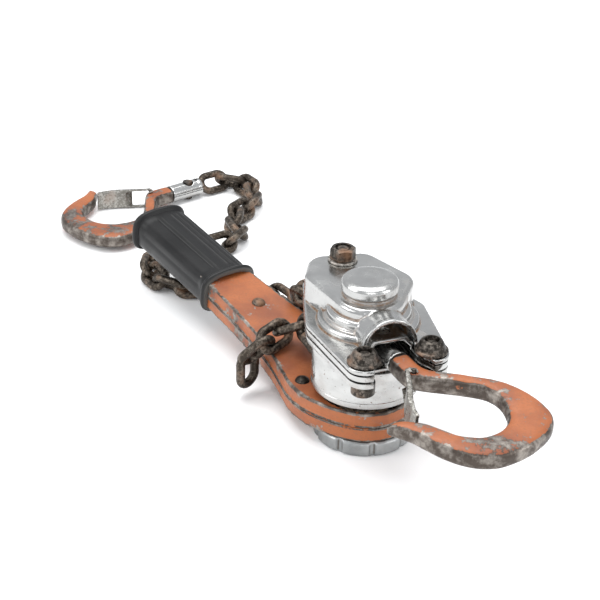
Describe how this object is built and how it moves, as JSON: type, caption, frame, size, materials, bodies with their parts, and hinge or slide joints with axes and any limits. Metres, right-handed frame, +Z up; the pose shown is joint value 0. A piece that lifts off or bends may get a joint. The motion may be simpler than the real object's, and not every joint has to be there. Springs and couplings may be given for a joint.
{
  "type": "ratchet lever chain hoist",
  "caption": "Hand-operated ratchet lever hoist with a geared, braked load sheave, swivel hooks with latches, link chain and a rubber-gripped lever.",
  "frame": {"origin": "on the main shaft's axis, at the underside of the hand wheel that the hoist lies on", "axes": "+Z up along the main shaft, from the hand wheel to the gear cover; the top hook reaches towards -Y, the lever and the slack chain towards +Y and -X"},
  "size_m": [0.3565, 0.5239, 0.1154],
  "materials": {
    "side_plate_lower": "worn machined steel with grime in the corners",
    "side_plate_upper": "worn machined steel with grime in the corners",
    "brake_drum": "bright metal plating, scuffed, with rusty grease in the creases",
    "sheave_bearing": "worn machined steel with grime in the corners",
    "gear_cover": "bright metal plating, scuffed, with rusty grease in the creases",
    "stay_bolt_left": "blackened fasteners with a little rust",
    "stay_bolt_right": "blackened fasteners with a little rust",
    "stay_bolt_back": "blackened fasteners with a little rust",
    "cap_nut_left": "blackened fasteners with a little rust",
    "cap_nut_right": "blackened fasteners with a little rust",
    "hex_nut_back": "blackened fasteners with a little rust",
    "washer_back": "blackened fasteners with a little rust",
    "lower_nut_left": "blackened fasteners with a little rust",
    "lower_nut_right": "blackened fasteners with a little rust",
    "lower_nut_back": "blackened fasteners with a little rust",
    "load_sheave": "worn machined steel with grime in the corners",
    "load_gear": "worn machined steel with grime in the corners",
    "layshaft_gear": "worn machined steel with grime in the corners",
    "layshaft_spindle": "worn machined steel with grime in the corners",
    "drive_shaft": "worn machined steel with grime in the corners",
    "change_gear": "worn machined steel with grime in the corners",
    "lining_lower": "pressed friction lining",
    "ratchet_disc": "worn machined steel with grime in the corners",
    "lining_upper": "pressed friction lining",
    "brake_hub": "worn machined steel with grime in the corners",
    "pawl_pin_a": "worn machined steel with grime in the corners",
    "pawl_pin_b": "worn machined steel with grime in the corners",
    "pawl_a": "worn machined steel with grime in the corners",
    "pawl_b": "worn machined steel with grime in the corners",
    "hand_wheel": "rough cast alloy",
    "wheel_nut": "blackened fasteners with a little rust",
    "lever_shell_lower": "orange enamel, chipped and worn to dark steel",
    "lever_shell_upper": "orange enamel, chipped and worn to dark steel",
    "lever_rivet_left": "blackened fasteners with a little rust",
    "lever_rivet_right": "blackened fasteners with a little rust",
    "lever_rivet_arm": "blackened fasteners with a little rust",
    "selector_pawl": "worn machined steel with grime in the corners",
    "selector_knob": "blackened fasteners with a little rust",
    "lever_grip": "moulded black rubber, slightly shiny",
    "top_yoke_upper": "bright metal plating, scuffed, with rusty grease in the creases",
    "top_yoke_lower": "bright metal plating, scuffed, with rusty grease in the creases",
    "top_hook": "orange enamel, chipped and worn to dark steel",
    "top_latch": "worn machined steel with grime in the corners",
    "top_latch_pin": "blackened fasteners with a little rust",
    "top_pin": "worn machined steel with grime in the corners",
    "top_yoke_rivet": "blackened fasteners with a little rust",
    "bottom_yoke_upper": "bright metal plating, scuffed, with rusty grease in the creases",
    "bottom_yoke_lower": "bright metal plating, scuffed, with rusty grease in the creases",
    "bottom_hook": "orange enamel, chipped and worn to dark steel",
    "bottom_latch": "worn machined steel with grime in the corners",
    "bottom_latch_pin": "blackened fasteners with a little rust",
    "bottom_yoke_pin": "blackened fasteners with a little rust",
    "chain_wrap": "dark heat-treated chain steel with brown grease",
    "chain_tail": "dark heat-treated chain steel with brown grease",
    "chain_load": "dark heat-treated chain steel with brown grease",
    "chain_pile": "dark heat-treated chain steel with brown grease"
  },
  "bodies": {
    "housing": {"side_plate_lower": "side_plate_lower", "side_plate_upper": "side_plate_upper", "brake_drum": "brake_drum", "sheave_bearing": "sheave_bearing", "gear_cover": "gear_cover", "stay_bolt_left": "stay_bolt_left", "stay_bolt_right": "stay_bolt_right", "stay_bolt_back": "stay_bolt_back", "cap_nut_left": "cap_nut_left", "cap_nut_right": "cap_nut_right", "hex_nut_back": "hex_nut_back", "washer_back": "washer_back", "lower_nut_left": "lower_nut_left", "lower_nut_right": "lower_nut_right", "lower_nut_back": "lower_nut_back", "layshaft_spindle": "layshaft_spindle", "pawl_pin_a": "pawl_pin_a", "pawl_pin_b": "pawl_pin_b", "top_pin": "top_pin", "chain_wrap": "chain_wrap", "chain_tail": "chain_tail", "chain_load": "chain_load", "chain_pile": "chain_pile", "bottom_yoke_pin": "bottom_yoke_pin"},
    "wheel_train": {"drive_shaft": "drive_shaft", "change_gear": "change_gear", "lining_lower": "lining_lower", "ratchet_disc": "ratchet_disc", "lining_upper": "lining_upper", "brake_hub": "brake_hub", "hand_wheel": "hand_wheel", "wheel_nut": "wheel_nut"},
    "layshaft": {"layshaft_gear": "layshaft_gear"},
    "sheave": {"load_sheave": "load_sheave", "load_gear": "load_gear"},
    "pawl_a": {"pawl_a": "pawl_a"},
    "pawl_b": {"pawl_b": "pawl_b"},
    "lever": {"lever_shell_lower": "lever_shell_lower", "lever_shell_upper": "lever_shell_upper", "lever_rivet_left": "lever_rivet_left", "lever_rivet_right": "lever_rivet_right", "lever_rivet_arm": "lever_rivet_arm", "lever_grip": "lever_grip"},
    "selector": {"selector_pawl": "selector_pawl", "selector_knob": "selector_knob"},
    "top_yoke": {"top_yoke_upper": "top_yoke_upper", "top_yoke_lower": "top_yoke_lower", "top_yoke_rivet": "top_yoke_rivet"},
    "top_hook": {"top_hook": "top_hook", "top_latch_pin": "top_latch_pin"},
    "top_latch": {"top_latch": "top_latch"},
    "bottom_yoke": {"bottom_yoke_upper": "bottom_yoke_upper", "bottom_yoke_lower": "bottom_yoke_lower"},
    "bottom_hook": {"bottom_hook": "bottom_hook", "bottom_latch_pin": "bottom_latch_pin"},
    "bottom_latch": {"bottom_latch": "bottom_latch"}
  },
  "joints": [
    {"name": "hand_wheel_spin", "type": "hinge", "parent": "housing", "child": "wheel_train", "pos_m": [0, 0, 0.005], "axis": [0, 0, 1], "continuous": true},
    {"name": "layshaft_spin", "type": "hinge", "parent": "housing", "child": "layshaft", "pos_m": [-0.00771, 0.02061, 0.092], "axis": [0, 0, 1], "continuous": true},
    {"name": "sheave_spin", "type": "hinge", "parent": "housing", "child": "sheave", "pos_m": [0, 0, 0.0528], "axis": [0, 0, 1], "continuous": true},
    {"name": "lever_swing", "type": "hinge", "parent": "housing", "child": "lever", "pos_m": [0, 0, 0.02185], "axis": [0, 0, 1], "range_deg": [-12, 12], "deforming": ["chain_tail", "chain_load"]},
    {"name": "selector_swing", "type": "hinge", "parent": "lever", "child": "selector", "pos_m": [-0.02755, 0.03683, 0.01], "axis": [0, 0, 1], "range_deg": [-8, 8]},
    {"name": "pawl_a_swing", "type": "hinge", "parent": "housing", "child": "pawl_a", "pos_m": [0.02522, -0.00198, 0.028], "axis": [0, 0, 1], "range_deg": [-6, 6], "stiffness_Nm_per_rad": 0.02},
    {"name": "pawl_b_swing", "type": "hinge", "parent": "housing", "child": "pawl_b", "pos_m": [-0.02522, 0.00198, 0.028], "axis": [0, 0, 1], "range_deg": [-6, 6], "stiffness_Nm_per_rad": 0.02},
    {"name": "top_yoke_swing", "type": "hinge", "parent": "housing", "child": "top_yoke", "pos_m": [0.0084, -0.02248, 0.0775], "axis": [0, 0, 1], "range_deg": [-20, 0]},
    {"name": "top_hook_swivel", "type": "hinge", "parent": "top_yoke", "child": "top_hook", "pos_m": [0.01295, -0.03019, 0.07656], "axis": [0.5048, -0.8569, -0.1045], "continuous": true},
    {"name": "top_latch_open", "type": "hinge", "parent": "top_hook", "child": "top_latch", "pos_m": [0.02629, -0.0558, 0.07353], "axis": [0.0531, -0.0901, 0.9945], "range_deg": [0, 32], "stiffness_Nm_per_rad": 0.05, "springref_deg": -11.46},
    {"name": "bottom_yoke_swing", "type": "hinge", "parent": "housing", "child": "bottom_yoke", "pos_m": [-0.146, 0.362, 0.0088], "axis": [0, 0, 1], "range_deg": [-20, 8]},
    {"name": "bottom_hook_swivel", "type": "hinge", "parent": "bottom_yoke", "child": "bottom_hook", "pos_m": [-0.15299, 0.35634, 0.0088], "axis": [-0.7771, -0.6293, 0], "continuous": true},
    {"name": "bottom_latch_open", "type": "hinge", "parent": "bottom_hook", "child": "bottom_latch", "pos_m": [-0.17648, 0.33925, 0.0088], "axis": [0, 0, 1], "range_deg": [0, 32], "stiffness_Nm_per_rad": 0.05, "springref_deg": -11.46}
  ],
  "couplings": [
    {"joint": "layshaft_spin", "follows": "hand_wheel_spin", "ratio": -0.29412},
    {"joint": "sheave_spin", "follows": "hand_wheel_spin", "ratio": 0.086505}
  ]
}
